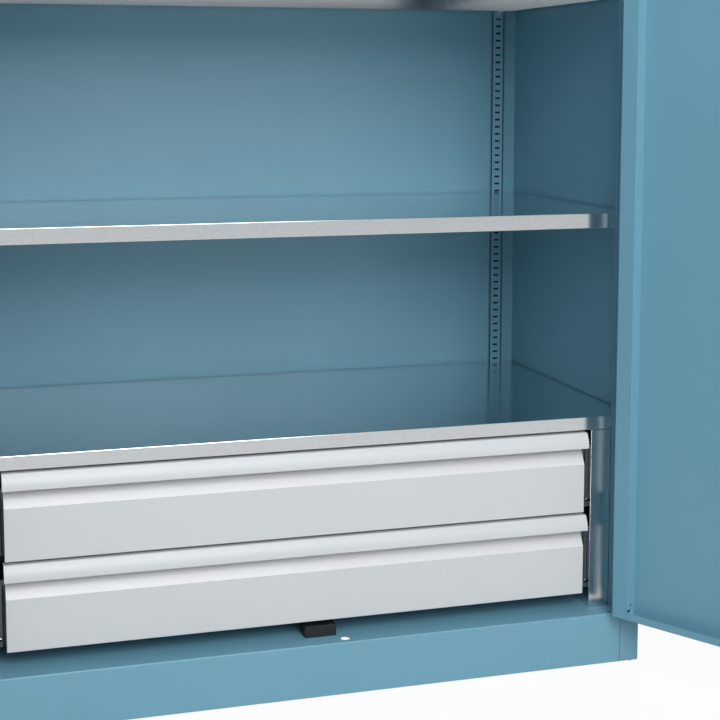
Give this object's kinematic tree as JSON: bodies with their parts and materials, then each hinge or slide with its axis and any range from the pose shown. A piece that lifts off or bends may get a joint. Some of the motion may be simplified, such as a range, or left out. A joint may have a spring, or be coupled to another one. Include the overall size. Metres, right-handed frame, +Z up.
{
  "type": "storage cabinet",
  "caption": "Tall sheet-steel wing-door cabinet with adjustable shelves, full-width drawers in the base and a lockable rod lock.",
  "frame": {"origin": "centre of the carcass on the floor, in the plane of the feet's undersides", "axes": "+X to the right seen from the front, +Y to the back, +Z up; doors open at rest"},
  "size_m": [1.6927, 1.1429, 1.95],
  "materials": {
    "painted_blue": "satin powder coat, pastel blue",
    "painted_grey": "satin powder coat, light grey",
    "zinc": "bright galvanised sheet",
    "steel": "zinc-plated steel",
    "chrome": "polished nickel",
    "black_plastic": "fine-grained black plastic",
    "white_nylon": "moulded nylon"
  },
  "bodies": {
    "carcass": {"left_side_panel": "painted_blue", "right_side_panel": "painted_blue", "back_panel": "painted_blue", "top_panel": "painted_blue", "floor_panel": "painted_blue", "rear_left_strip": "painted_blue", "rear_right_strip": "painted_blue", "front_left_strip": "painted_blue", "front_right_strip": "painted_blue", "left_frame_hinges": "painted_blue", "right_frame_hinges": "painted_blue", "foot_plates": "zinc", "cover_shelf": "zinc", "shelf_1": "zinc", "shelf_2": "zinc", "shelf_3": "zinc", "shelf_1_clips": "zinc", "shelf_2_clips": "zinc", "shelf_3_clips": "zinc", "left_drawer_housing": "zinc", "right_drawer_housing": "zinc", "drawer_1_outer_runners": "zinc", "drawer_2_outer_runners": "zinc", "housing_screws": "steel", "left_hinge_pins": "steel", "right_hinge_pins": "steel", "hinge_washers": "steel", "levelling_feet": "black_plastic", "bottom_stop_block": "black_plastic", "top_stop_block": "black_plastic"},
    "left_door": {"left_door_panel": "painted_blue", "left_door_stiffener": "painted_blue", "left_door_hinges": "painted_blue", "overlap_strip": "painted_blue"},
    "right_door": {"right_door_panel": "painted_blue", "right_door_stiffener": "painted_blue", "right_door_hinges": "painted_blue", "rod_guides": "white_nylon", "lock_case": "zinc", "lock_screws": "steel", "handle_plate": "black_plastic"},
    "door_handle": {"handle": "black_plastic", "spindle": "steel", "pinion": "steel"},
    "door_lock": {"lock_barrel": "chrome", "key": "steel"},
    "upper_lock_rod": {"upper_rod": "steel"},
    "lower_lock_rod": {"lower_rod": "steel"},
    "drawer_1": {"drawer_1_inner_runners": "zinc", "drawer_1_box": "zinc", "drawer_1_front": "painted_grey", "drawer_1_grip": "painted_grey"},
    "drawer_1_slides": {"drawer_1_middle_runners": "zinc"},
    "drawer_2": {"drawer_2_inner_runners": "zinc", "drawer_2_box": "zinc", "drawer_2_front": "painted_grey", "drawer_2_grip": "painted_grey"},
    "drawer_2_slides": {"drawer_2_middle_runners": "zinc"}
  },
  "joints": [
    {"name": "right_door_hinge", "type": "hinge", "parent": "carcass", "child": "right_door", "pos_m": [0.562, -0.3042, 0], "axis": [0, 0, 1], "range_deg": [-120, 0]},
    {"name": "left_door_hinge", "type": "hinge", "parent": "carcass", "child": "left_door", "pos_m": [-0.562, -0.3042, 0], "axis": [0, 0, -1], "range_deg": [-120, 0]},
    {"name": "handle_turn", "type": "hinge", "parent": "right_door", "child": "door_handle", "pos_m": [0.81911, -0.75793, 1], "axis": [0.866, 0.5, 0], "range_deg": [-90, 0]},
    {"name": "key_turn", "type": "hinge", "parent": "right_door", "child": "door_lock", "pos_m": [0.81911, -0.75793, 1.072], "axis": [0.866, 0.5, 0], "range_deg": [-90, 0]},
    {"name": "upper_rod_slide", "type": "slide", "parent": "right_door", "child": "upper_lock_rod", "axis": [0, 0, 1], "range_m": [0, 0.01581]},
    {"name": "lower_rod_slide", "type": "slide", "parent": "right_door", "child": "lower_lock_rod", "axis": [0, 0, -1], "range_m": [0, 0.01581]},
    {"name": "drawer_1_slide", "type": "slide", "parent": "carcass", "child": "drawer_1", "axis": [0, -1, 0], "range_m": [0, 0.48]},
    {"name": "drawer_1_runner_slide", "type": "slide", "parent": "carcass", "child": "drawer_1_slides", "axis": [0, -1, 0], "range_m": [0, 0.24]},
    {"name": "drawer_2_slide", "type": "slide", "parent": "carcass", "child": "drawer_2", "axis": [0, -1, 0], "range_m": [0, 0.48]},
    {"name": "drawer_2_runner_slide", "type": "slide", "parent": "carcass", "child": "drawer_2_slides", "axis": [0, -1, 0], "range_m": [0, 0.24]}
  ],
  "couplings": [
    {"joint": "upper_rod_slide", "follows": "handle_turn", "m_per_rad": -0.01},
    {"joint": "lower_rod_slide", "follows": "handle_turn", "m_per_rad": -0.01},
    {"joint": "drawer_1_runner_slide", "follows": "drawer_1_slide", "ratio": 0.5},
    {"joint": "drawer_2_runner_slide", "follows": "drawer_2_slide", "ratio": 0.5}
  ]
}
